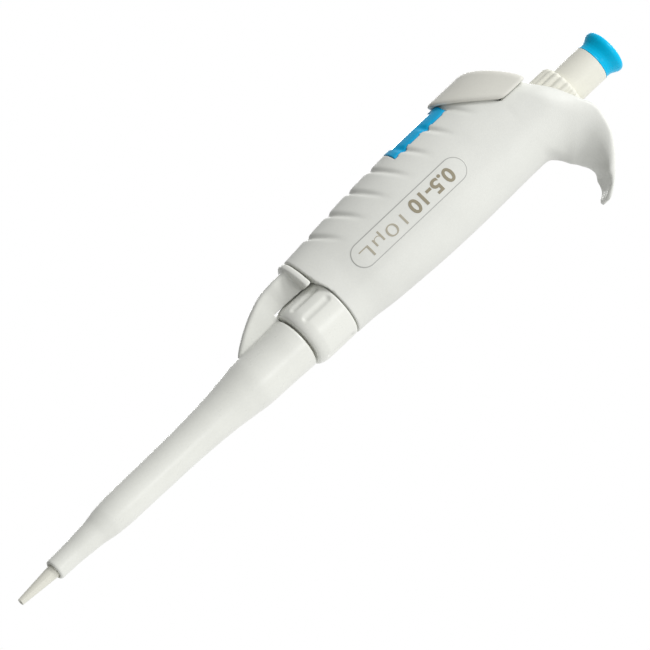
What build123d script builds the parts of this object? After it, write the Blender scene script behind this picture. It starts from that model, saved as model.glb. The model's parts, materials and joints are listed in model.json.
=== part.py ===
"""Single-channel air-displacement micropipette, 0.5-10 microlitre size.

Frame: Z runs along the plunger axis from the nozzle (z = 0) to the push button (z = 240).
The finger hook points to +Y, the ejector pad and the volume display to -Y, and x = 0 is
the plane of symmetry. All lengths are in millimetres.
"""

import os
from math import atan2, cos, degrees, pi, radians, sin, sqrt, tan

from build123d import *

os.makedirs("parts", exist_ok=True)

# ---- overall layout ---------------------------------------------------------------------
TOTAL_LENGTH = 240.0
FIT = 0.05  # radial running clearance
GAP = 0.3  # free space between separate moulded skins
WALL = 2.2  # handle wall

# ---- travels ----------------------------------------------------------------------------
STROKE = 7.5  # first stop at 10 microlitres; 3 mm more against the blow-out spring
VOLUME_TRAVEL = 7.1  # stop carriage, 10 down to 0.5 microlitres
EJECT = 7.0

# ---- handle -----------------------------------------------------------------------------
# section stations: z, back radius, front reach, front radius
HANDLE_STATIONS = [
    (125.4, 9.95, 18.8, 6.6),
    (133.0, 10.15, 19.4, 6.9),
    (142.0, 11.0, 20.1, 7.8),
    (153.0, 11.6, 21.0, 8.8),
    (164.0, 12.0, 21.45, 9.2),
    (175.0, 12.1, 21.7, 9.3),
    (187.0, 11.9, 21.7, 9.3),
    (199.0, 11.65, 21.7, 9.2),
    (211.0, 11.6, 21.7, 9.2),
    (224.0, 11.6, 21.7, 9.2),
]
NUT_SEAT = 127.5
NUT_RECESS_R = 10.35
BULGE_Y = -9.4  # only the front bulge of the handle reaches below the nut seat
CAVITY_BOTTOM = 134.0
CAVITY_TOP = 191.5
HOOK_ARCH_R = 8.9  # true cylinder, hangs on a stand rail
HOOK_ARCH_Y = 21.8
HOOK_ARCH_Z = 203.6

GROOVE_R = 1.1
GROOVE_DEPTH = 0.5

# ---- turned parts on the axis -----------------------------------------------------------
NUT_R = 9.9
NUT_BOTTOM = 112.6
NUT_TOP = 127.0
SPIGOT_R = 8.4
SPIGOT_BORE = 6.4
SPIGOT_END = 115.8
DIAL_R = 8.2
DIAL_TOP = 222.0
DIAL_FLOOR = 197.0
DIAL_BORE_R = 8.6
BUTTON_R = 5.9
BUTTON_TOP = 233.2
BUTTON_BOTTOM = 211.0
CAP_R = 7.0
ROD_R = 1.6
COLLAR_R = 4.4
COLLAR_Z = 160.0
COLLAR_H = 3.0
PISTON_R = 0.65
SPRING_SEAT = 92.0
PISTON_HEAD_Z = 121.0

# ---- mechanism frame, carriage and counter ----------------------------------------------
FRAME_R = 7.2
FRAME_BORE = 6.1
FRAME_TOP = 186.0
CAGE_R = 6.0
CAGE_BORE = 5.2
CAGE_FLOOR = 137.0
LUG_TOP = 171.5
SPINDLE_R = 4.2
JOURNAL_R = 3.3
COUNTER_Y = -14.5
COUNTER_SHAFT_R = 1.0
DRUM_R = 4.4
DRUM_H = 4.4
DRUM_Z = [172.0, 177.0, 182.0]
GEAR_MODULE = 0.5
GEAR_TEETH = 18
IDLER_TEETH = 11
IDLER_Y = -GEAR_MODULE * (GEAR_TEETH + IDLER_TEETH) / 2
GEAR_Z = 188.0
GEAR_H = 2.5

# ---- ejector ----------------------------------------------------------------------------
YOKE_Y = -13.6
YOKE_ROD_R = 2.0
YOKE_BRIDGE_Z = 164.0
YOKE_BRIDGE_H = 3.5
LEG_X = 5.4
LEG_Y = -11.3
LEG_R = 1.0
BAR_Z = 207.2
BAR_H = 1.8
FLANGE_BOTTOM = 123.2
FLANGE_TOP = 125.1
ARM_CLEARANCE_R = 10.3
YOKE_END = 119.2
PAD_PROUD = 1.9

# ---- display ----------------------------------------------------------------------------
STRIP_HALF = 5.8
STRIP_Z = (169.0, 190.0)
STRIP_DEPTH = 1.2
WINDOW_HALF = 3.4
WINDOW_Z = (171.2, 187.2)
LABEL_LENGTH = 44.2
LABEL_HEIGHT = 8.0
LABEL_CENTRE = (-4.9, 159.6)


def turned(points):
    """Solid of revolution about Z from (radius, z) points."""
    profile = make_face(Polyline(*[(r, 0, z) for r, z in points], close=True))
    return revolve(profile, Axis.Z)


def rod(radius, z0, z1, x=0.0, y=0.0):
    return Pos(x, y, z0) * Cylinder(radius, z1 - z0, align=(Align.CENTER, Align.CENTER, Align.MIN))


def tube(outer, inner, z0, z1, x=0.0, y=0.0):
    return rod(outer, z0, z1, x, y) - rod(inner, z0 - 1, z1 + 1, x, y)


def block(x0, x1, y0, y1, z0, z1):
    centre = ((x0 + x1) / 2, (y0 + y1) / 2, (z0 + z1) / 2)
    return Pos(*centre) * Box(x1 - x0, y1 - y0, z1 - z0)


def side_prism(curve_points, half_width):
    """Prism along X from a closed (y, z) outline."""
    outline = make_face(Plane.YZ * Polyline(*curve_points, close=True))
    return extrude(outline, half_width, both=True)


def coil(mean_r, wire_r, z0, z1, turns, y=0.0):
    """Compression spring with its wire inside z0..z1."""
    height = z1 - z0 - 2 * wire_r
    path = Pos(0, y, z0 + wire_r) * Helix(height / turns, height, mean_r)
    start = path @ 0
    section = Plane(origin=start, z_dir=path % 0) * Circle(wire_r)
    return sweep(section, path=path, is_frenet=True)


def egg_section(z, back_r, front, front_r, grow):
    """Round back and a narrower round front, joined by tangents."""
    plane = Plane.XY.offset(z)
    big_r = back_r + grow
    small_r = front_r + grow
    centre = front_r - front
    lean = (big_r - small_r) / -centre
    side = sqrt(1 - lean * lean)
    right = (big_r * side, -big_r * lean)
    left = (-right[0], right[1])
    right_front = (small_r * side, centre - small_r * lean)
    left_front = (-right_front[0], right_front[1])
    edges = [
        ThreePointArc(right, (0, big_r), left),
        Line(left, left_front),
        ThreePointArc(left_front, (0, centre - small_r), right_front),
        Line(right_front, right),
    ]
    return plane * make_face(Wire(edges))


def trunk(grow=0.0):
    """Handle trunk without hook, its skin moved out by grow."""
    return loft([egg_section(*station, grow) for station in HANDLE_STATIONS])


def gear(teeth, z, height, bore, phase, x=0.0, y=0.0):
    """Spur gear with short involute teeth and a little backlash; phase is the angle of a tooth."""
    pitch_r = GEAR_MODULE * teeth / 2
    base_r = pitch_r * cos(radians(20))
    tip_r = pitch_r + 0.8 * GEAR_MODULE
    root_r = pitch_r - 1.2 * GEAR_MODULE
    thin = 0.03 / pitch_r

    def half_angle(r):
        pressure = sqrt(max(r * r - base_r * base_r, 0.0)) / base_r
        roll = pressure - atan2(pressure, 1)
        at_pitch = tan(radians(20)) - radians(20)
        return pi / (2 * teeth) - thin + at_pitch - roll

    radii = [max(base_r, root_r) + (tip_r - max(base_r, root_r)) * i / 4 for i in range(5)]
    flank = [(root_r, half_angle(radii[0]))] + [(r, half_angle(r)) for r in radii]
    points = []
    for i in range(teeth):
        middle = radians(phase) + 2 * pi * i / teeth
        tooth = [(r, middle - h) for r, h in flank] + [(r, middle + h) for r, h in reversed(flank)]
        points += [(r * cos(a), r * sin(a)) for r, a in tooth]
    blank = extrude(make_face(Polyline(*points, close=True)), height)
    return Pos(x, y, z) * (blank - rod(bore, -1, height + 1))


# ---- handle shell -----------------------------------------------------------------------
# side view of the top, y and z
HOOK_TOP = [
    (-16.0, 208.0),
    (-8.3, 212.9),
    (-1.0, 217.2),
    (3.0, 219.2),
    (6.0, 221.0),
    (9.0, 222.5),
    (12.0, 223.2),
    (16.0, 222.4),
]

# hook sections around the arch axis: angle, inner radius, outer radius, half width
HOOK_SECTIONS = [
    (206.0, 11.8, 24.0, 8.6),
    (182.0, 8.6, 27.0, 10.2),
    (158.0, 8.6, 27.0, 10.5),
    (135.0, 8.6, 25.4, 10.2),
    (112.0, 8.6, 20.9, 9.6),
    (90.0, 8.6, 15.7, 8.8),
    (66.0, 8.6, 12.3, 7.8),
    (44.0, 8.6, 11.4, 6.4),
    (28.0, 8.6, 11.1, 4.8),
    (19.0, 8.6, 10.9, 3.2),
    (15.5, 8.6, 10.7, 1.8),
]


def hook():
    """Finger hook swept around the arch axis, its underside cut to a true cylinder."""
    sections = []
    for angle, inner, reach, half_width in HOOK_SECTIONS:
        outward = (0, cos(radians(angle)), sin(radians(angle)))
        middle = (inner + reach) / 2
        centre = (0, HOOK_ARCH_Y + middle * outward[1], HOOK_ARCH_Z + middle * outward[2])
        plane = Plane(origin=centre, x_dir=(1, 0, 0), z_dir=(0, -outward[2], outward[1]))
        height = reach - inner
        corner = 0.9 * min(height / 2, half_width)
        sections.append(plane * RectangleRounded(2 * half_width, height, corner))
    arch = Pos(0, HOOK_ARCH_Y, HOOK_ARCH_Z) * Rot(0, 90, 0) * Cylinder(HOOK_ARCH_R, 60)
    return loft(sections) - arch


def grooves():
    """Seven slanted finger grooves on each side of the front."""
    cutters = []
    for i in range(7):
        z = 137.4 + 9.05 * i
        station = min(HANDLE_STATIONS, key=lambda s: abs(s[0] - z))
        nose = station[3]
        middle = nose - station[2]
        for side in (-1, 1):
            reach = (nose + GROOVE_R - GROOVE_DEPTH) / cos(radians(25))
            ends = [
                Vector(side * reach * sin(radians(turn)), middle - reach * cos(radians(turn)), z + rise)
                for turn, rise in ((38, -1.9), (88, 1.9))
            ]
            run = ends[1] - ends[0]
            cutters.append(Plane(origin=ends[0], z_dir=run) * rod(GROOVE_R, 0, run.length))
    return cutters


trunk_limit = side_prism([(-60, 100), (-60, 190), (-30, 199.5)] + HOOK_TOP + [(20, 190), (20, 100)], 20)
hook_limit = side_prism([(-2, 190), (-2, 216.6)] + HOOK_TOP[2:] + [(60, 230), (60, 190)], 20)
pad_well = side_prism([(-40, 193.6), (-22.5, 193.6), (-10.1, 202.6), (-10.1, 240.0), (-40, 240.0)], 20)
bar_well = block(-LEG_X - 1.4, LEG_X + 1.4, -12.7, -10.1, BAR_Z - EJECT - 0.4, 210.0)

outer = trunk() & trunk_limit
outer += hook() & hook_limit
outer -= pad_well
outer -= rod(NUT_RECESS_R, 120, NUT_SEAT)
outer -= side_prism([(BULGE_Y, 120), (BULGE_Y, 125.4), (-4.5, NUT_SEAT), (20, NUT_SEAT), (20, 120)], 20)
outer += rod(SPIGOT_R, SPIGOT_END, NUT_SEAT + 1)

cavity = trunk(-WALL) & block(-20, 20, -30, 30, CAVITY_BOTTOM, CAVITY_TOP)
window = block(-WINDOW_HALF - 0.6, WINDOW_HALF + 0.6, -30, -16, WINDOW_Z[0] + 0.8, WINDOW_Z[1] - 0.8)
strip_pocket = (trunk(1) - trunk(-STRIP_DEPTH)) & block(
    -STRIP_HALF, STRIP_HALF, -30, -16, STRIP_Z[0], STRIP_Z[1]
)
label_outline = Pos(*LABEL_CENTRE) * Rot(0, 0, 90) * SlotOverall(LABEL_LENGTH, LABEL_HEIGHT)
label_blank = extrude(Plane.YZ.offset(8) * label_outline, 8)

shell = outer - cavity - window - strip_pocket - bar_well
shell -= rod(SPIGOT_BORE, SPIGOT_END - 1, NUT_SEAT + 0.1)
shell -= rod(2.2, 120, CAVITY_BOTTOM + 1)
shell -= rod(DIAL_BORE_R, CAVITY_TOP - 1, 240)
shell -= rod(YOKE_ROD_R + 0.1, 120, CAVITY_BOTTOM + 1, 0, YOKE_Y)
for side in (-1, 1):
    shell -= rod(LEG_R + 0.35, CAVITY_TOP - 1, 215, side * LEG_X, LEG_Y)
    shell -= rod(0.8, CAVITY_BOTTOM - 5, CAVITY_BOTTOM + 1, side * 5.0, 0)
shell -= rod(COUNTER_SHAFT_R + FIT, CAVITY_TOP - 1, CAVITY_TOP + 3, 0, COUNTER_Y)
shell -= (trunk(1) - trunk(-0.6)) & label_blank
for cutter in grooves():
    shell -= cutter
export_step(shell, "parts/handle_shell.step")

# ---- display: colour plate, lens, label inlay -------------------------------------------
skin = (trunk() - trunk(-STRIP_DEPTH)) & block(-20, 20, -30, -14, STRIP_Z[0] + 0.05, STRIP_Z[1] - 0.05)
lens_hole = block(-WINDOW_HALF, WINDOW_HALF, -30, -14, WINDOW_Z[0], WINDOW_Z[1])
colour_strip = (skin & block(-STRIP_HALF + 0.05, STRIP_HALF - 0.05, -30, -14, 160, 195)) - lens_hole
for cutter in grooves():
    colour_strip -= cutter
lens_blank = block(-WINDOW_HALF + FIT, WINDOW_HALF - FIT, -30, -14, WINDOW_Z[0] + FIT, WINDOW_Z[1] - FIT)
display_lens = skin & lens_blank
label_plate = (trunk() - trunk(-0.6)) & label_blank
export_step(colour_strip, "parts/colour_strip.step")
export_step(display_lens, "parts/display_lens.step")
export_step(label_plate, "parts/label_plate.step")

# ---- barrel with nozzle -----------------------------------------------------------------
barrel = turned(
    [
        (0.45, 0.0),
        (1.05, 0.0),
        (2.05, 12.5),
        (2.35, 20.0),
        (2.6, 30.0),
        (3.8, 38.0),
        (3.9, 66.0),
        (4.6, 77.0),
        (5.6, 89.0),
        (6.2, 95.0),
        (6.2, 113.6),
        (8.2, 113.6),
        (8.2, SPIGOT_END - 0.1),
        (SPIGOT_BORE - FIT, SPIGOT_END - 0.1),
        (SPIGOT_BORE - FIT, 120.0),
        (5.9, 120.0),
        (5.9, 121.2),
        (SPIGOT_BORE - FIT, 121.2),
        (SPIGOT_BORE - FIT, 127.0),
        (5.0, 127.0),
        (5.0, 90.0),
        (2.8, 90.0),
        (2.8, 64.0),
        (0.85, 64.0),
        (0.85, 8.0),
        (0.45, 6.0),
    ]
)
barrel = fillet(barrel.edges().filter_by(GeomType.CIRCLE).filter_by_position(Axis.Z, -0.1, 0.1), 0.15)
barrel_o_ring = Pos(0, 0, 120.6) * Torus(5.9 + 0.24, 0.24)
seal_bore = PISTON_R + 0.02
piston_seal = turned(
    [(seal_bore, 64.0), (2.75, 64.0), (2.75, 66.4), (1.5, 66.4), (1.2, 65.6), (seal_bore, 65.6)]
)
seal_o_ring = Pos(0, 0, 67.0) * Torus(2.1, 0.58)
seal_retainer = turned(
    [(1.2, 67.7), (2.75, 67.7), (2.75, 90.1), (4.9, 90.1), (4.9, SPRING_SEAT), (1.2, SPRING_SEAT)]
)
export_step(barrel, "parts/barrel.step")
export_step(barrel_o_ring, "parts/barrel_o_ring.step")
export_step(piston_seal, "parts/piston_seal.step")
export_step(seal_o_ring, "parts/seal_o_ring.step")
export_step(seal_retainer, "parts/seal_retainer.step")

# ---- plunger ----------------------------------------------------------------------------
piston = rod(PISTON_R, 24.0, 86.0) + rod(1.0, 86.0, PISTON_HEAD_Z + 1.5)
piston_head = turned(
    [
        (1.05, PISTON_HEAD_Z),
        (4.9, PISTON_HEAD_Z),
        (4.9, PISTON_HEAD_Z + 2.4),
        (2.2, PISTON_HEAD_Z + 3.2),
        (0, PISTON_HEAD_Z + 3.2),
        (0, PISTON_HEAD_Z + 1.55),
        (1.05, PISTON_HEAD_Z + 1.55),
    ]
)
plunger_rod = rod(ROD_R, PISTON_HEAD_Z + 3.25, 228.0)
plunger_rod = chamfer(plunger_rod.edges().filter_by(GeomType.CIRCLE), 0.3)
rod_collar = turned(
    [
        (ROD_R + 0.01, COLLAR_Z),
        (COLLAR_R, COLLAR_Z),
        (COLLAR_R, COLLAR_Z + 1.2),
        (2.8, COLLAR_Z + 1.6),
        (2.8, COLLAR_Z + COLLAR_H),
        (ROD_R + 0.01, COLLAR_Z + COLLAR_H),
    ]
)
push_button = turned(
    [
        (ROD_R + 0.01, 221.0),
        (3.0, 221.0),
        (3.0, 223.0),
        (4.7, 223.0),
        (4.7, BUTTON_BOTTOM),
        (BUTTON_R, BUTTON_BOTTOM),
        (BUTTON_R, BUTTON_TOP),
        (4.0, BUTTON_TOP),
        (4.0, 228.05),
        (ROD_R + 0.01, 228.05),
    ]
)


def cap_profile():
    """Plug, flared neck, rounded rim and dome of the button cap."""
    plug_r = 3.95
    plug_end = 228.1
    seat_z = BUTTON_TOP + 0.02
    return make_face(
        [
            Line((plug_r, 0, plug_end), (plug_r, 0, seat_z)),
            Line((plug_r, 0, seat_z), (BUTTON_R, 0, seat_z)),
            ThreePointArc((BUTTON_R, 0, seat_z), (6.05, 0, 235.6), (6.8, 0, 237.4)),
            ThreePointArc((6.8, 0, 237.4), (CAP_R, 0, 238.1), (6.7, 0, 238.8)),
            ThreePointArc((6.7, 0, 238.8), (3.4, 0, 239.75), (0.4, 0, TOTAL_LENGTH)),
            Line((0.4, 0, TOTAL_LENGTH), (0, 0, TOTAL_LENGTH)),
            Line((0, 0, TOTAL_LENGTH), (0, 0, plug_end)),
            Line((0, 0, plug_end), (plug_r, 0, plug_end)),
        ]
    )


button_cap = revolve(cap_profile(), Axis.Z)
return_spring = coil(3.95, 0.4, SPRING_SEAT + 0.02, PISTON_HEAD_Z - 0.02, 10)
export_step(piston, "parts/piston.step")
export_step(piston_head, "parts/piston_head.step")
export_step(plunger_rod, "parts/plunger_rod.step")
export_step(rod_collar, "parts/rod_collar.step")
export_step(push_button, "parts/push_button.step")
export_step(button_cap, "parts/button_cap.step")
export_step(return_spring, "parts/return_spring.step")

# ---- mechanism frame --------------------------------------------------------------------
frame = rod(FRAME_R, CAVITY_BOTTOM, FRAME_TOP)
frame -= rod(FRAME_BORE, CAVITY_BOTTOM + 2.4, FRAME_TOP - 2.5)
frame += block(-3.0, 3.0, -9.6, -6.0, FRAME_TOP - 2.5, FRAME_TOP)
frame += block(-3.0, 3.0, -16.4, -6.6, 168.6, 170.9) - rod(FRAME_BORE, 160, 180)
frame -= rod(2.2, 130, 150)
frame -= rod(JOURNAL_R + FIT, 180, 190)
frame -= rod(0.8, FRAME_TOP - 3, FRAME_TOP + 1, 0, IDLER_Y)
frame -= rod(COUNTER_SHAFT_R + FIT, 165, 175, 0, COUNTER_Y)
frame -= block(-10, 10, -1.1, 1.1, 150.0, LUG_TOP + VOLUME_TRAVEL + 4.4)
for side in (-1, 1):
    frame -= rod(1.65, CAVITY_BOTTOM + 1.5, CAVITY_BOTTOM + 2.5, side * 5.0, 0)
    frame -= rod(1.05, CAVITY_BOTTOM - 1, CAVITY_BOTTOM + 3, side * 5.0, 0)
export_step(frame, "parts/mechanism_frame.step")

screw = rod(1.55, CAVITY_BOTTOM + 1.55, CAVITY_BOTTOM + 2.4, 5.0)
screw += rod(0.78, CAVITY_BOTTOM - 4.6, CAVITY_BOTTOM + 1.6, 5.0)
screw -= block(4.2, 5.8, -0.2, 0.2, CAVITY_BOTTOM + 2.0, CAVITY_BOTTOM + 3)
frame_screws = Compound([screw, Rot(0, 0, 180) * screw])
export_step(frame_screws, "parts/frame_screws.step")

idler_pin = rod(0.78, FRAME_TOP - 2.4, GEAR_Z + GEAR_H + 0.3, 0, IDLER_Y)
idler_pin += rod(1.4, FRAME_TOP + 0.05, GEAR_Z - 0.1, 0, IDLER_Y)
counter_shaft = rod(COUNTER_SHAFT_R - 0.01, 168.8, CAVITY_TOP + 2.6, 0, COUNTER_Y)
counter_shaft += rod(1.6, 171.0, 171.9, 0, COUNTER_Y)
export_step(idler_pin, "parts/idler_pin.step")
export_step(counter_shaft, "parts/counter_shaft.step")

# ---- volume setting ---------------------------------------------------------------------
dial = turned(
    [
        (2.6, DIAL_FLOOR),
        (7.3, DIAL_FLOOR),
        (7.3, 207.0),
        (DIAL_R, 208.0),
        (DIAL_R, DIAL_TOP - 0.8),
        (DIAL_R - 0.8, DIAL_TOP),
        (BUTTON_R + FIT, DIAL_TOP),
        (BUTTON_R + FIT, 200.0),
        (2.6, 200.0),
    ]
)
RIBS = 20
for i in range(RIBS):
    dial -= Rot(0, 0, 360 * i / RIBS) * rod(0.85, 208.5, 225, DIAL_R + 0.5)
dial_bearing = turned([(5.6, 193.2), (8.55, 193.2), (8.55, 196.7), (5.6, 196.7)])
volume_spindle = turned(
    [
        (1.75, 164.0),
        (SPINDLE_R, 164.0),
        (SPINDLE_R, 183.3),
        (JOURNAL_R, 183.3),
        (JOURNAL_R, 187.9),
        (2.55, 187.9),
        (2.55, 199.9),
        (1.75, 199.9),
    ]
)
idler_phase = 90 + 180 / IDLER_TEETH
dial_gear = gear(GEAR_TEETH, GEAR_Z, GEAR_H, 2.56, -90)
idler_gear = gear(IDLER_TEETH, GEAR_Z, GEAR_H, 0.83, idler_phase, 0, IDLER_Y)
counter_phase = 90 + 180 / GEAR_TEETH
counter_gear = gear(GEAR_TEETH, GEAR_Z, GEAR_H, COUNTER_SHAFT_R + 0.02, counter_phase, 0, COUNTER_Y)
counter_gear += tube(2.2, COUNTER_SHAFT_R + 0.02, 186.6, GEAR_Z, 0, COUNTER_Y)
export_step(dial, "parts/volume_dial.step")
export_step(dial_bearing, "parts/dial_bearing.step")
export_step(volume_spindle, "parts/volume_spindle.step")
export_step(dial_gear, "parts/dial_gear.step")
export_step(idler_gear, "parts/idler_gear.step")
export_step(counter_gear, "parts/counter_gear.step")
for i, z in enumerate(DRUM_Z):
    drum_bore = COUNTER_SHAFT_R + (0.02 if i == 0 else FIT)
    drum = tube(DRUM_R, drum_bore, z, z + DRUM_H, 0, COUNTER_Y)
    drum = chamfer(drum.edges().filter_by(GeomType.CIRCLE).filter_by(lambda e: e.radius > 2), 0.25)
    drum -= tube(3.4, 1.8, z + DRUM_H - 0.6, z + DRUM_H + 1, 0, COUNTER_Y)
    export_step(drum, f"parts/number_drum_{i + 1}.step")

# ---- stop carriage ----------------------------------------------------------------------
carriage = rod(CAGE_R, CAGE_FLOOR, 172.0) - rod(CAGE_BORE, CAGE_FLOOR + 1.5, 166.0)
carriage -= rod(2.2, CAGE_FLOOR - 1, CAGE_FLOOR + 2)
carriage -= rod(SPINDLE_R + FIT, 160, 175)
for side in (-1, 1):
    carriage += Pos(side * 6.25, 0, LUG_TOP - 2.75) * Box(1.3, 2.0, 5.5)
export_step(carriage, "parts/stop_carriage.step")
blowout_spring = coil(3.9, 0.4, CAGE_FLOOR + 1.52, COLLAR_Z - STROKE, 5)
export_step(blowout_spring, "parts/blowout_spring.step")

# ---- ejector ----------------------------------------------------------------------------
PAD_OUTLINE = [(-25.0, 187.0), (-23.8, 187.0), (-10.3, 202.6)]
PAD_ROOF = [(-10.3, 211.9), (-13.6, 210.4), (-17.4, 207.5), (-20.0, 205.2), (-22.3, 202.9), (-25.0, 199.0)]


def pad_region(drop):
    """Prism of the pad seen from the side, the roof lowered by drop."""
    roof_points = [(y, z - drop) for y, z in PAD_ROOF]
    roof = Plane.YZ * Spline(*roof_points)
    rest = Plane.YZ * Polyline(roof_points[-1], *PAD_OUTLINE, roof_points[0])
    return extrude(make_face([roof, rest]), 20, both=True)


pad = (trunk(PAD_PROUD) & pad_region(0)) - (trunk(GAP) & pad_region(1.6))
bridge_top = YOKE_BRIDGE_Z + YOKE_BRIDGE_H
bridge_half = LEG_X + LEG_R
yoke = block(-bridge_half, bridge_half, LEG_Y - LEG_R, -10.45, BAR_Z, BAR_Z + BAR_H)
for side in (-1, 1):
    yoke += rod(LEG_R, bridge_top - 1, BAR_Z + 0.5, side * LEG_X, LEG_Y)
yoke += block(-bridge_half, bridge_half, LEG_Y - LEG_R, LEG_Y + LEG_R, YOKE_BRIDGE_Z, bridge_top)
yoke += rod(YOKE_ROD_R + 1.0, YOKE_BRIDGE_Z, bridge_top, 0, YOKE_Y)
yoke += rod(YOKE_ROD_R, YOKE_END, YOKE_BRIDGE_Z + 0.5, 0, YOKE_Y)
ejector_spring = coil(2.95, 0.35, CAVITY_BOTTOM + 0.02, YOKE_BRIDGE_Z - 0.02, 12, YOKE_Y)
export_step(pad, "parts/ejector_pad.step")
export_step(yoke, "parts/ejector_yoke.step")
export_step(ejector_spring, "parts/ejector_spring.step")

SLEEVE = [
    (3.1, 13.4),
    (3.3, 13.6),
    (3.45, 20.7),
    (3.86, 26.6),
    (4.1, 29.6),
    (4.58, 32.5),
    (5.02, 35.5),
    (5.32, 41.4),
    (5.43, 53.0),
    (5.59, 65.0),
    (6.09, 76.9),
    (6.56, 82.8),
    (7.25, 88.7),
    (7.89, 94.6),
    (8.06, 103.5),
    (8.3, 109.4),
    (8.35, 111.4),
    (8.0, 112.0),
]
SLEEVE_BORE = [
    (6.9, 112.0),
    (6.8, 97.0),
    (6.4, 92.5),
    (5.4, 82.0),
    (4.45, 68.0),
    (4.3, 42.0),
    (3.5, 34.0),
    (2.75, 28.5),
    (2.5, 18.0),
    (2.45, 13.4),
]
# fin sections: z, reach, half width
FIN = [
    (97.0, -9.0, 0.8),
    (100.5, -11.3, 1.0),
    (106.4, -14.4, 1.3),
    (112.0, -16.5, 1.7),
    (118.0, -17.3, 2.4),
    (123.4, -17.4, 3.2),
]


def fin_section(z, reach, half_width):
    middle = (reach - 5.0) / 2
    return Plane.XY.offset(z) * Pos(0, middle) * Ellipse(half_width, middle - reach)


fin = loft([fin_section(*section) for section in FIN])
flange = extrude(egg_section(FLANGE_BOTTOM, 9.95, 18.8, 6.6, -0.05), FLANGE_TOP - FLANGE_BOTTOM)
flange &= block(-20, 20, -30, BULGE_Y, 120, 130)
arm = (fin + flange) - rod(ARM_CLEARANCE_R, 112.0, 130)
sleeve = turned(SLEEVE + SLEEVE_BORE)
sleeve = (sleeve + arm) - turned([(0, 112.0)] + SLEEVE_BORE + [(0, 13.4)])
sleeve -= rod(YOKE_ROD_R, YOKE_END - 0.2, 130, 0, YOKE_Y)
export_step(sleeve, "parts/ejector_sleeve.step")

# ---- connecting nut ---------------------------------------------------------------------
nut = turned(
    [
        (6.6, NUT_BOTTOM),
        (8.4, NUT_BOTTOM),
        (9.2, NUT_BOTTOM + 0.6),
        (9.75, NUT_BOTTOM + 2.2),
        (NUT_R, NUT_BOTTOM + 4.0),
        (NUT_R, NUT_TOP - 0.4),
        (NUT_R - 0.4, NUT_TOP),
        (SPIGOT_R + FIT, NUT_TOP),
        (SPIGOT_R + FIT, 113.55),
        (6.6, 113.55),
    ]
)
for group in (0, 180):
    for i in range(4):
        angle = group + 18 + 30 * i
        nut -= Rot(0, 0, -angle) * rod(1.2, NUT_BOTTOM + 2.6, NUT_TOP - 1.2, NUT_R + 0.85)
export_step(nut, "parts/connecting_nut.step")
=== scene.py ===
import json
import math

import bmesh
import bpy
import numpy as np
import openvdb
from mathutils import Matrix, Vector


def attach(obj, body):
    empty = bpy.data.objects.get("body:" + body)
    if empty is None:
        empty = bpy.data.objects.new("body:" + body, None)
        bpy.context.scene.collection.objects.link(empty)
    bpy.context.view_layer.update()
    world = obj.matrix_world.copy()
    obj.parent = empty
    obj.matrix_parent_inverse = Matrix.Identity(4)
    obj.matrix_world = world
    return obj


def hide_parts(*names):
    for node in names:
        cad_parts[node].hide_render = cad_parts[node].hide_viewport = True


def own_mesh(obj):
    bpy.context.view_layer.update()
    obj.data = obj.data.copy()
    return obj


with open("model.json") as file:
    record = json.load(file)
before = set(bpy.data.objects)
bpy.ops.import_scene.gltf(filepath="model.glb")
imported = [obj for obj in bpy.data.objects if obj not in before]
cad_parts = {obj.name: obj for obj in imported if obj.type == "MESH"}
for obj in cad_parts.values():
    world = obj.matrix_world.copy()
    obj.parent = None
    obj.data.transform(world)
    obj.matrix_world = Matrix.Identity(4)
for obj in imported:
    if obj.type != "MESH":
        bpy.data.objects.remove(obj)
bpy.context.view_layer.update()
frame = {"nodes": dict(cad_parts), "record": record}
MM = 0.001

# ------------------------------------------------------------------ numeric helpers (millimetres)


def smooth_table(q, xs, ys):
    """Monotone cubic interpolation of a table, held constant outside it."""
    xs, ys = np.asarray(xs, float), np.asarray(ys, float)
    order = np.argsort(xs)
    xs, ys = xs[order], ys[order]
    h = np.diff(xs)
    d = np.diff(ys) / h
    m = np.zeros(len(xs))
    for i in range(1, len(xs) - 1):
        if d[i - 1] * d[i] > 0:
            w1, w2 = 2 * h[i] + h[i - 1], h[i] + 2 * h[i - 1]
            m[i] = (w1 + w2) / (w1 / d[i - 1] + w2 / d[i])
    m[0], m[-1] = d[0], d[-1]
    q = np.clip(q, xs[0], xs[-1])
    i = np.clip(np.searchsorted(xs, q) - 1, 0, len(h) - 1)
    t = (q - xs[i]) / h[i]
    t2, t3 = t * t, t * t * t
    return (
        (2 * t3 - 3 * t2 + 1) * ys[i]
        + (t3 - 2 * t2 + t) * h[i] * m[i]
        + (3 * t2 - 2 * t3) * ys[i + 1]
        + (t3 - t2) * h[i] * m[i + 1]
    )


def join(a, b, k):
    """Smooth union; k is the blend's width."""
    h = np.maximum(k - np.abs(a - b), 0) / k
    return np.minimum(a, b) - h * h * k / 4


def meet(a, b, k):
    """Smooth intersection."""
    return -join(-a, -b, k)


def cut(a, b, k=0.3):
    """a without b, the new edge rounded by about k."""
    return meet(a, -b, k)


def grid(lo, hi, h):
    axes = [np.arange(lo[i], hi[i] + h, h, dtype=np.float32) for i in range(3)]
    return axes[0][:, None, None], axes[1][None, :, None], axes[2][None, None, :]


def link_object(name, data):
    obj = bpy.data.objects.new(name, data)
    bpy.context.scene.collection.objects.link(obj)
    return obj


def orient(mesh, weld=0.0, closed=False):
    """Turns the faces outward; points closer than weld (metres) are joined first."""
    bm = bmesh.new()
    bm.from_mesh(mesh)
    if weld:
        bmesh.ops.remove_doubles(bm, verts=bm.verts, dist=weld)
    bmesh.ops.recalc_face_normals(bm, faces=bm.faces)
    if closed and bm.calc_volume(signed=True) < 0:
        bmesh.ops.reverse_faces(bm, faces=bm.faces)
    bm.to_mesh(mesh)
    bm.free()


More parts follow.
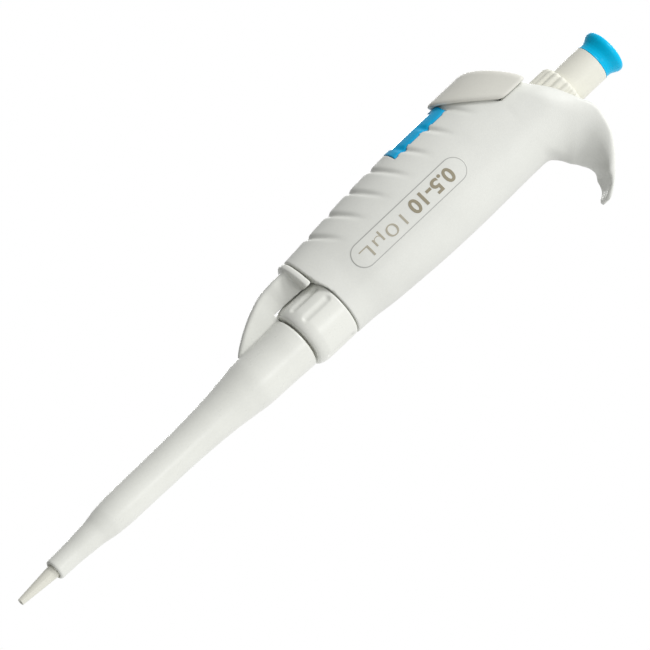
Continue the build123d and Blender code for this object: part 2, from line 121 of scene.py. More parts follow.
def mesh_object(name, verts, faces, smooth=True):
    mesh = bpy.data.meshes.new(name)
    mesh.from_pydata(verts, [], faces)
    mesh.validate()
    if smooth:
        mesh.shade_smooth()
    return link_object(name, mesh)


FAR = 5.0  # field value outside the sampled block


def surface(name, field, lo, h):
    """Object from the zero surface of a field sampled from corner lo with pitch h, in millimetres."""
    volume = openvdb.FloatGrid(FAR)
    volume.copyFromArray(np.ascontiguousarray(field, dtype=np.float32))
    points, quads = volume.convertToQuads(0.0)
    points = (np.asarray(points, float) * h + np.asarray(lo)) * MM
    mesh = bpy.data.meshes.new(name)
    quads = np.asarray(quads, dtype=np.int32)
    mesh.vertices.add(len(points))
    mesh.vertices.foreach_set("co", points.astype(np.float32).ravel())
    mesh.loops.add(quads.size)
    mesh.loops.foreach_set("vertex_index", quads.ravel())
    mesh.polygons.add(len(quads))
    mesh.polygons.foreach_set("loop_start", np.arange(0, quads.size, 4, dtype=np.int32))
    mesh.update(calc_edges=True)
    mesh.validate()
    orient(mesh, closed=True)
    mesh.shade_smooth()
    return link_object(name, mesh)


def lathe(name, profile, segments=128):
    """Surface of revolution about Z, from (radius, z) points in millimetres."""
    verts, faces = [], []
    for r, z in profile:
        for i in range(segments):
            a = 2 * math.pi * i / segments
            verts.append((r * math.cos(a) * MM, r * math.sin(a) * MM, z * MM))
    for j in range(len(profile) - 1):
        for i in range(segments):
            k = (i + 1) % segments
            low, high = j * segments, (j + 1) * segments
            faces.append((low + i, low + k, high + k, high + i))
    obj = mesh_object(name, verts, faces)
    orient(obj.data, weld=1e-6)
    obj.data.shade_smooth()
    return obj


def rounded_profile(points, steps=6, share=0.45):
    """Replaces corners given as (r, z, radius) by curves, each using at most a share of its sides."""
    out = []
    n = len(points)
    for i, p in enumerate(points):
        r = p[2] if len(p) > 2 else 0
        if r <= 0 or i in (0, n - 1):
            out.append(p[:2])
            continue
        a, b, c = Vector(points[i - 1][:2]), Vector(p[:2]), Vector(points[i + 1][:2])
        u, v = (a - b).normalized(), (c - b).normalized()
        reach = min(r, share * (a - b).length, share * (c - b).length)
        for s in range(steps + 1):
            t = s / steps
            q = (1 - t) ** 2 * (b + u * reach) + 2 * t * (1 - t) * b + t * t * (b + v * reach)
            out.append((q.x, q.y))
    return out


# ------------------------------------------------------------------ shapes shared by several pieces
# handle trunk: station heights, radius of the back half, reach of the front, radius of the grooved nose
STATION_Z = [125.4, 133.0, 142.0, 153.0, 164.0, 175.0, 187.0, 199.0, 211.0]
BACK_R = [9.95, 10.15, 11.0, 11.6, 12.0, 12.1, 11.9, 11.65, 11.6]
FRONT = [18.8, 19.4, 20.1, 21.0, 21.45, 21.7, 21.7, 21.7, 21.7]
NOSE_R = [6.6, 6.9, 7.8, 8.8, 9.2, 9.3, 9.3, 9.2, 9.2]
# side view of the handle's top, from the front over the hook
TOP_Y = [
    -30.0, -16.0, -8.3, -5.0, -1.0, 2.5, 6.0, 9.0, 11.5,
    13.6, 16.0, 18.2, 20.4, 22.7, 25.0, 28.4, 31.8, 40.0,
]
TOP_Z = [
    200.0, 208.6, 213.1, 214.9, 216.5, 218.0, 219.9, 221.8, 222.7,
    222.6, 222.0, 221.3, 220.2, 218.5, 216.5, 213.3, 209.5, 196.0,
]
ARCH_Y, ARCH_Z = 21.8, 203.6  # axis of the finger arch
BELOW, ABOVE = 100.0, 300.0  # ends of cuts that run out of the part
YOKE_Y = -13.6


def egg(x, y, z, grow=0.0):
    """Distance to the handle trunk's skin: a round back and a longer oval front."""
    wide = smooth_table(z, STATION_Z, BACK_R) + grow
    long = smooth_table(z, STATION_Z, FRONT) + grow
    depth = np.where(y > 0, wide, long)
    q = np.sqrt((x / wide) ** 2 + (y / depth) ** 2) + 1e-6
    pull = np.sqrt((x / wide**2) ** 2 + (y / depth**2) ** 2) / q + 1e-6
    return (q - 1) / pull


def steepness(q, xs, ys, reach=0.2):
    """Slope of a table, taken over reach to either side."""
    return (smooth_table(q + reach, xs, ys) - smooth_table(q - reach, xs, ys)) / (2 * reach)


def rod_field(x, y, z, radius, z0, z1, cx=0.0, cy=0.0):
    """Upright round bar between z0 and z1."""
    r = np.sqrt((x - cx) ** 2 + (y - cy) ** 2)
    return np.maximum(r - radius, np.maximum(z0 - z, z - z1))


# ------------------------------------------------------------------ handle
GROOVE_PITCH = 9.05
GROOVE_Z = [137.4 + GROOVE_PITCH * i for i in range(7)]
GROOVE_DEEP, GROOVE_HALF = 0.66, 0.95
FADE_END, FADE_SPAN = 100, 55  # degrees round the nose
CAVITY_BOTTOM, CAVITY_TOP = 134.0, 191.5
WALL = 2.2


def groove_depth(x, y, z):
    """Depth of the seven finger grooves across the front, fading out softly down both sides."""
    nose = smooth_table(z, STATION_Z, NOSE_R)
    middle = nose - smooth_table(z, STATION_Z, FRONT)
    turn = np.degrees(np.arctan2(np.abs(x), middle - y))
    fade = np.clip((FADE_END - turn) / FADE_SPAN, 0, 1)
    fade = GROOVE_DEEP * fade * fade * (3 - 2 * fade)
    total = 0
    for z0 in GROOVE_Z:
        line = z0 - 2.0 + 4.0 * (np.clip(turn - 15, 0, 85) / 65) ** 1.25
        total = total + np.exp(-(((z - line) / GROOVE_HALF) ** 2))
    return np.where((z > 130) & (z < 200), fade * total, 0.0)


def strip_wave(z):
    """Scallops of the colour plate's long edges, one for each groove."""
    return 0.16 * (1 + np.cos(2 * math.pi * (z - GROOVE_Z[0] + 0.9) / GROOVE_PITCH))


# hook sections round the arch axis: angle, outer radius, inner radius, half width, edge rounding
HOOK_T = [11.0, 15.5, 19.0, 28.0, 44.0, 66.0, 90.0, 112.0, 135.0, 158.0, 182.0, 206.0]
HOOK_OUT = [11.1, 11.1, 11.1, 11.15, 11.3, 12.15, 15.2, 20.5, 25.0, 27.0, 27.0, 24.0]
HOOK_IN = [9.5, 9.5, 9.5, 9.6, 9.95, 9.45, 7.9, 6.8, 6.6, 7.7, 9.2, 13.2]
HOOK_W = [2.2, 3.0, 3.7, 5.1, 6.6, 8.0, 9.0, 9.8, 10.2, 9.4, 8.2, 6.0]
HOOK_K = [1.0, 1.0, 1.0, 1.0, 1.1, 1.2, 1.4, 1.9, 3.0, 6.0, 8.0, 8.0]


HOOK_LIP = 2.6  # thickness at the hook's side edges
HOOK_TIP_Z = 207.2


def hook_field(x, y, z):
    """Finger hook with a hollow that runs along its underside."""
    dy, dz = y - ARCH_Y, z - ARCH_Z
    rho = np.sqrt(dy * dy + dz * dz)
    theta = np.degrees(np.arctan2(dz, dy))
    theta = np.where(theta < -60, theta + 360, theta)
    out = smooth_table(theta, HOOK_T, HOOK_OUT)
    under = smooth_table(theta, HOOK_T, HOOK_IN)
    wide = smooth_table(theta, HOOK_T, HOOK_W)
    k = smooth_table(theta, HOOK_T, HOOK_K)
    lift = np.maximum(out - under - HOOK_LIP, 0.0)
    share = np.clip(np.abs(x) / wide, 0, 1.2)
    slope = 2 * lift * share / wide
    inner = (under + lift * share**2 - rho) / np.sqrt(1 + slope * slope)
    shape = meet(rho - out, inner, np.minimum(k, 1.3))
    shape = meet(shape, np.abs(x) - wide, k)
    ends = np.maximum(HOOK_TIP_Z - z, (theta - 212.0) * rho * math.pi / 180)
    return meet(shape, ends, 1.4)


NUT_RECESS_R, NUT_SEAT = 10.3, 127.45
SPIGOT_R, SPIGOT_BORE_R, SPIGOT_BOTTOM, SPIGOT_TOP = 8.4, 6.4, 115.8, 128.5
RAMP_Y = [-14.0, -9.3, -5.0, 0.0]
RAMP_Z = [125.5, 126.0, 127.05, 127.45]
PLUNGER_HOLE_R, YOKE_HOLE_R = 2.2, 2.1
DIAL_WELL_R, DIAL_WELL_BOTTOM = 8.6, 190.5
LEG_HOLE_R, LEG_X, LEG_Y = 1.45, 5.8, -11.6
DECK_Z, DECK_BACK_Y = 193.6, -10.1
DECK_FRONT_Y, DECK_RUN, DECK_RISE = -22.5, 12.4, 9.0
PLATE_BACK_Y = -16.0
POCKET_HALF, POCKET_BOTTOM, POCKET_TOP = 5.85, 168.95, 190.05
OPENING_HALF, OPENING_BOTTOM, OPENING_TOP = 4.0, 172.0, 186.4


def trunk_with_hook(x, y, z):
    slope = steepness(y, TOP_Y, TOP_Z)
    top = (z - smooth_table(y, TOP_Y, TOP_Z)) / np.sqrt(1 + slope * slope)
    body = meet(egg(x, y, z), top, 5.0)
    return join(body, meet(hook_field(x, y, z), top, 1.2), 5.5)


def pad_deck(y, z):
    """Room over the sloping step on which the ejector pad sits."""
    line = (DECK_RUN * (z - DECK_Z) - DECK_RISE * (y - DECK_FRONT_Y)) / math.hypot(DECK_RISE, DECK_RUN)
    return np.maximum(np.maximum(-line, y - DECK_BACK_Y), DECK_Z - z)


def handle_field(x, y, z):
    body = cut(trunk_with_hook(x, y, z), pad_deck(y, z), 0.4)
    # bottom: recess over the nut, ramp to the front bulge, spigot inside the nut
    body = cut(body, rod_field(x, y, z, NUT_RECESS_R, BELOW, NUT_SEAT), 0.3)
    body = meet(body, smooth_table(y, RAMP_Y, RAMP_Z) - z, 0.2)
    body = np.minimum(body, rod_field(x, y, z, SPIGOT_R, SPIGOT_BOTTOM, SPIGOT_TOP))
    body = body + groove_depth(x, y, z)
    # hollow inside, bores and guide holes
    inner = np.maximum(egg(x, y, z, -WALL), np.maximum(CAVITY_BOTTOM - z, z - CAVITY_TOP))
    body = cut(body, inner, 0.3)
    body = cut(body, rod_field(x, y, z, SPIGOT_BORE_R, BELOW, 127.6), 0.2)
    body = cut(body, rod_field(x, y, z, PLUNGER_HOLE_R, BELOW, 135), 0.2)
    body = cut(body, rod_field(x, y, z, DIAL_WELL_R, DIAL_WELL_BOTTOM, ABOVE), 0.7)
    body = cut(body, rod_field(x, y, z, YOKE_HOLE_R, BELOW, 135, 0, YOKE_Y), 0.2)
    for side in (-1, 1):
        body = cut(body, rod_field(x, y, z, LEG_HOLE_R, 190, ABOVE, side * LEG_X, LEG_Y), 0.2)
    # pocket of the colour plate with the display's opening behind it
    pocket = np.maximum(np.abs(x) - POCKET_HALF + strip_wave(z), -egg(x, y, z, -1.2))
    pocket = np.maximum(pocket, np.maximum(POCKET_BOTTOM - z, z - POCKET_TOP))
    body = np.maximum(body, -np.maximum(pocket, y - PLATE_BACK_Y))
    opening = np.maximum(np.maximum(np.abs(x) - OPENING_HALF, y - PLATE_BACK_Y), OPENING_BOTTOM - z)
    return np.maximum(body, -np.maximum(opening, z - OPENING_TOP))


step = 0.3
lo = (-13.5, -23.0, 115.0)
handle = surface("handle_skin", handle_field(*grid(lo, (13.5, 33.0, 222.5), step)), lo, step)
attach(handle, "handle")
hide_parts("handle_shell")

# ------------------------------------------------------------------ ejector pad
ROOF_Y = [-25.0, -22.3, -20.0, -17.4, -13.6, -10.3, -8.0]
ROOF_Z = [201.2, 204.2, 206.3, 208.4, 211.0, 212.5, 213.0]
PAD_FRONT_Y, PAD_FRONT_Z = -23.8, 187.0  # lowest corner of the pad
PAD_RUN, PAD_RISE = 13.5, 15.6
PAD_BACK_Y = -9.95
PAD_GROW, PAD_ROOM, PAD_ROOF = 1.75, 0.35, 1.5  # outside and inside off the trunk, thickness of the roof


def pad_field(x, y, z):
    scale = np.sqrt(1 + steepness(y, ROOF_Y, ROOF_Z) ** 2)
    roof = smooth_table(y, ROOF_Y, ROOF_Z)
    skin = meet(egg(x, y, z, PAD_GROW), (z - roof) / scale, 1.8)
    low = ((y - PAD_FRONT_Y) * PAD_RISE - (z - PAD_FRONT_Z) * PAD_RUN) / math.hypot(PAD_RISE, PAD_RUN)
    skin = meet(skin, low, 1.7)
    skin = meet(skin, y - PAD_BACK_Y, 1.3)
    room = meet(egg(x, y, z, PAD_ROOM), (z - roof) / scale + PAD_ROOF, 1.0)
    return cut(skin, room, 0.3)


step = 0.22
lo = (-14.5, -24.6, 185.5)
pad = surface("thumb_pad", pad_field(*grid(lo, (14.5, -9.5, 215.5), step)), lo, step)
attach(pad, "ejector")
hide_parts("ejector_pad")

# ------------------------------------------------------------------ ejector sleeve with fin and flange
# outside and bore radii along the sleeve, reach and half width of the fin
SLEEVE_Z = [13.0, 20.7, 26.6, 29.6, 32.5, 35.5, 41.4, 53.0, 65.0, 76.9, 82.8, 88.7, 94.6, 103.5, 109.4, 113.0]
SLEEVE_R = [3.28, 3.45, 3.86, 4.1, 4.58, 5.02, 5.32, 5.43, 5.59, 6.09, 6.56, 7.25, 7.89, 8.06, 8.3, 8.4]
BORE_Z = [13.0, 18.0, 28.5, 34.0, 42.0, 68.0, 82.0, 92.5, 97.0, 113.0]
BORE_R = [2.45, 2.5, 2.75, 3.5, 4.3, 4.45, 5.4, 6.4, 6.8, 6.9]
FIN_Z = [95.0, 97.0, 100.5, 103.5, 106.4, 109.4, 112.0, 115.0, 118.0, 120.0, 123.4]
FIN_Y = [7.0, 9.0, 11.3, 13.0, 14.4, 15.6, 16.5, 17.1, 17.3, 17.35, 17.3]
FIN_W = [0.8, 0.9, 1.2, 1.35, 1.45, 1.6, 1.7, 2.0, 2.6, 2.8, 3.1]
SLEEVE_BOTTOM, SLEEVE_TOP = 13.4, 112.0
FLANGE_BOTTOM, FLANGE_TOP, FLANGE_BACK_Y = 122.9, 125.0, -9.4
NUT_CLEARANCE_R = 10.08


def sleeve_field(x, y, z):
    r = np.sqrt(x * x + y * y)
    radius = smooth_table(z, SLEEVE_Z, SLEEVE_R)
    slope = steepness(z, SLEEVE_Z, SLEEVE_R, 0.3)
    ends = np.maximum(SLEEVE_BOTTOM - z, z - SLEEVE_TOP)
    tube = meet((r - radius) / np.sqrt(1 + slope * slope), ends, 0.9)
    reach = smooth_table(z, FIN_Z, FIN_Y)
    half = smooth_table(z, FIN_Z, FIN_W)
    fin = meet(np.abs(x) - half, np.maximum(-y - reach, y + 5.0), 1.5)
    fin = np.maximum(fin, np.maximum(95.0 - z, z - 124.2))
    flange = egg(x, y, np.full_like(z, STATION_Z[0]), 0.15)
    flange = meet(flange, np.maximum(FLANGE_BOTTOM - z, z - FLANGE_TOP), 0.7)
    flange = meet(flange, y - FLANGE_BACK_Y, 0.7)
    arm = join(fin, flange, 1.0)
    arm = meet(arm, np.where(z > 112.45, NUT_CLEARANCE_R - r, -1.0), 0.2)
    shape = np.minimum(tube, arm)
    shape = np.maximum(shape, np.where(z < 112.4, smooth_table(z, BORE_Z, BORE_R) - r, -9.0))
    return cut(shape, rod_field(x, y, z, 2.0, 119, 130, 0, YOKE_Y), 0.2)


step = 0.27
lo = (-9.6, -20.0, 12.6)
sleeve = surface("tip_sleeve", sleeve_field(*grid(lo, (9.6, 9.6, 126.0), step)), lo, step)
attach(sleeve, "ejector")
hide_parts("ejector_sleeve")

# ------------------------------------------------------------------ connecting nut
NUT_Z = [112.6, 113.2, 114.8, 116.6, 126.6, 127.2]
NUT_PROFILE = [8.7, 9.2, 9.7, 9.9, 9.9, 9.85]
NUT_BOTTOM, NUT_TOP, NUT_BORE_R = 112.6, 127.1, 6.6
FLUTE_R, FLUTE_CENTRE_R, FLUTE_BOTTOM, FLUTE_TOP = 1.3, 10.75, 116.2, 124.6


def nut_field(x, y, z):
    r = np.sqrt(x * x + y * y)
    body = meet(r - smooth_table(z, NUT_Z, NUT_PROFILE), np.maximum(NUT_BOTTOM - z, z - NUT_TOP), 0.5)
    for group in (0, 180):
        for i in range(4):
            a = -math.radians(group + 18 + 30 * i)
            cx, cy = FLUTE_CENTRE_R * math.cos(a), FLUTE_CENTRE_R * math.sin(a)
            t = np.clip(z, FLUTE_BOTTOM, FLUTE_TOP)
            flute = np.sqrt((x - cx) ** 2 + (y - cy) ** 2 + (z - t) ** 2) - FLUTE_R
            body = cut(body, flute, 0.5)
    body = cut(body, rod_field(x, y, z, 8.45, 113.55, 140), 0.3)
    return cut(body, rod_field(x, y, z, NUT_BORE_R, BELOW, 140), 0.3)


step = 0.2
lo = (-10.6, -10.6, 111.8)
nut = surface("fluted_nut", nut_field(*grid(lo, (10.6, 10.6, 128.0), step)), lo, step)
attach(nut, "nut")
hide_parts("connecting_nut")

# ------------------------------------------------------------------ volume dial
RIBS = 20
DIAL_R, DIAL_BOTTOM, DIAL_TOP = 8.2, 207.6, 222.0
DIAL_BORE_R, SKIRT_R, SKIRT_BOTTOM = 5.98, 7.3, 197.0


def dial_field(x, y, z):
    r = np.sqrt(x * x + y * y)
    phi = np.arctan2(y, x)
    turn = (phi * RIBS / (2 * math.pi)) % 1.0
    arc = (turn - 0.5) * 2 * math.pi * DIAL_R / RIBS
    groove = 0.6 * np.exp(-((arc / 0.6) ** 2)) * np.clip((z - 208.6) / 1.0, 0, 1)
    body = meet(r - (DIAL_R - groove), np.maximum(DIAL_BOTTOM - z, z - DIAL_TOP), 1.3)
    skirt = np.maximum(r - SKIRT_R, np.maximum(SKIRT_BOTTOM - z, z - 208.5))
    body = join(body, skirt, 0.3)
    body = cut(body, rod_field(x, y, z, DIAL_BORE_R, 200.0, ABOVE), 0.5)
    return cut(body, rod_field(x, y, z, 2.6, 190, ABOVE), 0.2)


step = 0.17
lo = (-8.9, -8.9, 196.4)
dial = surface("ribbed_dial", dial_field(*grid(lo, (8.9, 8.9, 222.8), step)), lo, step)
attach(dial, "dial")
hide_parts("volume_dial")

# ------------------------------------------------------------------ push button and cap
button = lathe(
    "button_stem",
    rounded_profile(
        [
            (1.62, 221.0), (3.0, 221.0, 0.3), (3.0, 223.0, 0.3), (4.7, 223.0, 0.3), (4.7, 211.0, 0.3),
            (5.9, 211.0, 0.4), (5.9, 233.2, 0.25), (4.0, 233.2, 0.1), (4.0, 228.05, 0.1), (1.62, 228.05),
        ]
    ),
)
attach(button, "plunger")
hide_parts("push_button")

CAP_BASE = 233.3
CAP_Z = [0.0, 0.6, 1.3, 2.2, 3.0, 3.8, 4.4, 4.9, 5.4, 5.9, 6.3, 6.55, 6.7]
CAP_R = [5.9, 5.78, 5.78, 5.95, 6.3, 6.72, 6.95, 7.0, 6.9, 6.4, 5.2, 3.0, 0.0]
along = np.linspace(0, len(CAP_Z) - 1, 90)
cap_r = smooth_table(along, range(len(CAP_R)), CAP_R)
cap_z = smooth_table(along, range(len(CAP_Z)), CAP_Z)
cap = lathe(
    "blue_cap",
    [(0.0, 228.1), (3.95, 228.1), (3.95, 233.25), (5.75, 233.25)]
    + [(float(r), CAP_BASE + float(z)) for r, z in zip(cap_r, cap_z)],
)
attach(cap, "plunger")
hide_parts("button_cap")

# ------------------------------------------------------------------ colour plate and display lens
PLATE_HALF, PLATE_BOTTOM, PLATE_TOP = 5.72, 169.05, 189.95
WINDOW_HALF, WINDOW_BOTTOM, WINDOW_TOP = 2.3, 171.2, 187.2
LENS_HALF, LENS_BOTTOM, LENS_TOP = 2.28, 171.25, 187.15


def plate_field(x, y, z):
    dip = groove_depth(x, y, z) * np.clip((np.abs(x) - 2.8) / 2.6, 0, 1)
    skin = meet(egg(x, y, z, 0.1) + dip, -egg(x, y, z, -1.15), 0.15)
    edge = np.maximum(np.abs(x) - PLATE_HALF + strip_wave(z), np.maximum(PLATE_BOTTOM - z, z - PLATE_TOP))
    hole = np.maximum(np.abs(x) - WINDOW_HALF, np.maximum(WINDOW_BOTTOM - z, z - WINDOW_TOP))
    shape = meet(np.maximum(skin, y + 15), edge, 0.3)
    return cut(shape, hole, 0.3)


def lens_field(x, y, z):
    skin = meet(egg(x, y, z, -0.25), -egg(x, y, z, -0.95), 0.1)
    edge = np.maximum(np.abs(x) - LENS_HALF, np.maximum(LENS_BOTTOM - z, z - LENS_TOP))
    return meet(np.maximum(skin, y + 15), edge, 0.1)


step = 0.15
lo = (-6.6, -22.4, 168.4)
plate = surface("blue_plate", plate_field(*grid(lo, (6.6, -15.5, 190.6), step)), lo, step)
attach(plate, "handle")
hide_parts("colour_strip")
lo = (-3.0, -22.2, 170.8)
lens = surface("window_lens", lens_field(*grid(lo, (3.0, -19.5, 187.6), step)), lo, step)
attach(lens, "handle")
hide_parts("display_lens")

# ------------------------------------------------------------------ label: a thin printed inlay on the side


def side_x(y, z, grow):
    """Distance of the trunk's side skin from the middle plane."""
    wide = float(smooth_table(np.array(z), STATION_Z, BACK_R)) + grow
    long = float(smooth_table(np.array(z), STATION_Z, FRONT)) + grow
    return wide * math.sqrt(max(1 - (y / (wide if y > 0 else long)) ** 2, 0.0))


LABEL_Y, LABEL_Z, LABEL_L, LABEL_H = -4.9, 159.6, 44.2, 8.0


def sheet(name, outer, inner, faces, smooth=False):
    """Closed thin shell between two matching point layers."""
    n = len(outer)
    use = {}
    edges = [(a, b) for f in faces for a, b in zip(f, list(f[1:]) + [f[0]])]
    for a, b in edges:
        pair = (min(a, b), max(a, b))
        use[pair] = use.get(pair, 0) + 1
    walls = [(b, a, a + n, b + n) for a, b in edges if use[(min(a, b), max(a, b))] == 1]
    under = [tuple(i + n for i in f)[::-1] for f in faces]
    obj = mesh_object(name, list(outer) + list(inner), list(faces) + under + walls)
    orient(obj.data)
    if smooth:
        obj.data.shade_smooth()
    else:
        obj.data.shade_flat()
    return obj


def inlay():
    """Pill-shaped plate that lies in the trunk's side."""
    rows, cols = 41, 241
    spots, faces = [], []
    for i in range(rows):
        for j in range(cols):
            v = (i / (rows - 1) - 0.5) * (LABEL_H - 0.02)
            reach = (LABEL_L - LABEL_H) / 2 + math.sqrt(max((LABEL_H / 2) ** 2 - v * v, 0.0))
            spots.append((LABEL_Y + v, LABEL_Z + (j / (cols - 1) * 2 - 1) * reach))
    for i in range(rows - 1):
        for j in range(cols - 1):
            a = i * cols + j
            faces.append((a, a + cols, a + cols + 1, a + 1))
    outer = [(side_x(y, z, 0.035) * MM, y * MM, z * MM) for y, z in spots]
    inner = [(side_x(y, z, -0.3) * MM, y * MM, z * MM) for y, z in spots]
    return sheet("side_inlay", outer, inner, faces, smooth=True)


label = inlay()
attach(label, "handle")
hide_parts("label_plate")


def lettering(name, body, size, heavy=0.0):
    """Text as a flat triangulated mesh, centred, in millimetres."""
    curve = bpy.data.curves.new(name, "FONT")
    curve.body = body
    curve.size = size
    curve.offset = heavy
    curve.align_x, curve.align_y = "CENTER", "CENTER"
    curve.resolution_u = 6
    temp = bpy.data.objects.new(name, curve)
    bpy.context.scene.collection.objects.link(temp)
    bpy.context.view_layer.update()
    mesh = bpy.data.meshes.new_from_object(temp.evaluated_get(bpy.context.evaluated_depsgraph_get()))
    bpy.data.objects.remove(temp)
    bm = bmesh.new()
    bm.from_mesh(mesh)
    bmesh.ops.triangulate(bm, faces=bm.faces)
    for _ in range(3):
        long_edges = [e for e in bm.edges if e.calc_length() > 0.6]
        if long_edges:
            bmesh.ops.subdivide_edges(bm, edges=long_edges, cuts=1)
            bmesh.ops.triangulate(bm, faces=bm.faces)
    verts = [v.co.copy() for v in bm.verts]
    faces = [[v.index for v in f.verts] for f in bm.faces]
    bm.free()
    bpy.data.meshes.remove(mesh)
    return verts, faces


PRINT_LIFT, PRINT_DEPTH = 0.09, 0.25
WORD_WIDTH, WORD_HEIGHT, FONT_SIZE = 16.8, 4.6, 5.0


def on_side(u, v, lift):
    """Point u down and v back from the middle of the inlay."""
    y, z = LABEL_Y + v, LABEL_Z - u
    return side_x(y, z, PRINT_LIFT + lift), y, z


numerals = []
for word, shift, heavy in (("0.5-10", -9.2, 0.13), ("10\u00b5L", 9.8, -0.06)):
    verts, faces = lettering("print", word, FONT_SIZE, heavy)
    width = max(v.x for v in verts) - min(v.x for v in verts)
    grow = WORD_WIDTH / width
    tall = WORD_HEIGHT / (max(v.y for v in verts) - min(v.y for v in verts))
    middle_v = (max(v.y for v in verts) + min(v.y for v in verts)) / 2
    flat = [(v.x * grow + shift, (v.y - middle_v) * tall) for v in verts]
    outer = [Vector(on_side(u, v, 0.0)) * MM for u, v in flat]
    inner = [Vector(on_side(u, v, -PRINT_DEPTH)) * MM for u, v in flat]
    print_obj = sheet("side_numerals_%d" % (len(numerals) + 1), outer, inner, faces)
    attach(print_obj, "handle")
    numerals.append(print_obj)

# ------------------------------------------------------------------ numbers on the counter drums
COUNTER_Y, DRUM_R = -14.5, 4.4
DIGIT_R = DRUM_R + 0.02
DIGIT_SIZE, DIGIT_STEP = 3.6, 36
for drum, (z0, shown) in enumerate(((172.0, 0), (177.0, 0), (182.0, 1))):
    verts, faces, base = [], [], 0
    for digit in range(10):
        flat, tris = lettering("digit", str(digit), DIGIT_SIZE)
        turn = math.radians(-90 + DIGIT_STEP * (digit - shown))
        for v in flat:
            a = turn + v.x * 0.9 / DRUM_R
            y = COUNTER_Y + DIGIT_R * math.sin(a)
            verts.append((DIGIT_R * math.cos(a) * MM, y * MM, (z0 + 2.2 + v.y) * MM))
        faces += [[base + i for i in tri] for tri in tris]
        base = len(verts)
    digits = mesh_object("digits_%d" % (drum + 1), verts, faces, smooth=False)
    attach(digits, ("counter_units", "counter_tens", "counter_hundreds")[drum])
    numerals.append(digits)


# ------------------------------------------------------------------ springs, each carried by one body
def spring(name, mean_r, wire_r, z0, z1, turns, body, node, cy=0.0):
    """Helical spring between z0 and z1, carried by its body."""
    sides, steps = 10, turns * 36
    verts, faces = [], []
    lo_z, hi_z = z0 + wire_r, z1 - wire_r
    for i in range(steps + 1):
        t = i / steps
        ease = np.interp(t, [0, 1 / turns, 1 - 1 / turns, 1], [0, 0.03, 0.97, 1])
        a = 2 * math.pi * turns * t
        z = lo_z + (hi_z - lo_z) * float(ease)
        for s in range(sides):
            b = 2 * math.pi * s / sides
            r = mean_r + wire_r * math.cos(b)
            verts.append((r * math.cos(a) * MM, (cy + r * math.sin(a)) * MM, (z + wire_r * math.sin(b)) * MM))
    for i in range(steps):
        for s in range(sides):
            n = (s + 1) % sides
            faces.append((i * sides + s, i * sides + n, (i + 1) * sides + n, (i + 1) * sides + s))
    faces.append(tuple(range(sides))[::-1])
    faces.append(tuple(steps * sides + s for s in range(sides)))
    obj = mesh_object(name, verts, faces)
    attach(obj, body)
    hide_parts(node)
    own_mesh(obj)
    return obj


springs = [
    spring(
        "coil_return", mean_r=3.95, wire_r=0.4, z0=92.02, z1=120.98, turns=10,
        body="plunger", node="return_spring",
    ),
    spring(
        "coil_blowout", mean_r=3.9, wire_r=0.4, z0=138.52, z1=152.5, turns=5,
        body="carriage", node="blowout_spring",
    ),
    spring(
        "coil_ejector", mean_r=2.95, wire_r=0.35, z0=134.02, z1=163.98, turns=12,
        body="ejector", node="ejector_spring", cy=YOKE_Y,
    ),
]


# ------------------------------------------------------------------ materials
def node_material(name):
    mat = bpy.data.materials.new(name)
    mat.use_nodes = True
    nodes, links = mat.node_tree.nodes, mat.node_tree.links
    return mat, nodes, links, nodes["Principled BSDF"]


def noise(nodes, links, coord, scale, detail, rough=0.5):
    tex = nodes.new("ShaderNodeTexNoise")
    tex.inputs["Scale"].default_value = scale
    tex.inputs["Detail"].default_value = detail
    tex.inputs["Roughness"].default_value = rough
    links.new(coord, tex.inputs["Vector"])
    return tex


def ramp(nodes, links, source, stops):
    node = nodes.new("ShaderNodeValToRGB")
    links.new(source, node.inputs["Fac"])
    node.color_ramp.elements[0].position = stops[0][0]
    node.color_ramp.elements[0].color = (*stops[0][1], 1)
    node.color_ramp.elements[1].position = stops[-1][0]
    node.color_ramp.elements[1].color = (*stops[-1][1], 1)
    for place, colour in stops[1:-1]:
        node.color_ramp.elements.new(place).color = (*colour, 1)
    return node


def value_range(nodes, links, source, lo, hi, a=0.3, b=0.7):
    node = nodes.new("ShaderNodeMapRange")
    node.inputs["From Min"].default_value = a
    node.inputs["From Max"].default_value = b
    node.inputs["To Min"].default_value = lo
    node.inputs["To Max"].default_value = hi
    links.new(source, node.inputs["Value"])
    return node


def bump(nodes, links, height, strength, distance):
    node = nodes.new("ShaderNodeBump")
    node.inputs["Strength"].default_value = strength
    node.inputs["Distance"].default_value = distance
    links.new(height, node.inputs["Height"])
    return node


def srgb(r, g, b):
    return tuple(((c / 255 + 0.055) / 1.055) ** 2.4 if c > 10 else c / 255 / 12.92 for c in (r, g, b))


def scaled(colour, k):
    return tuple(min(1.0, c * k) for c in colour)


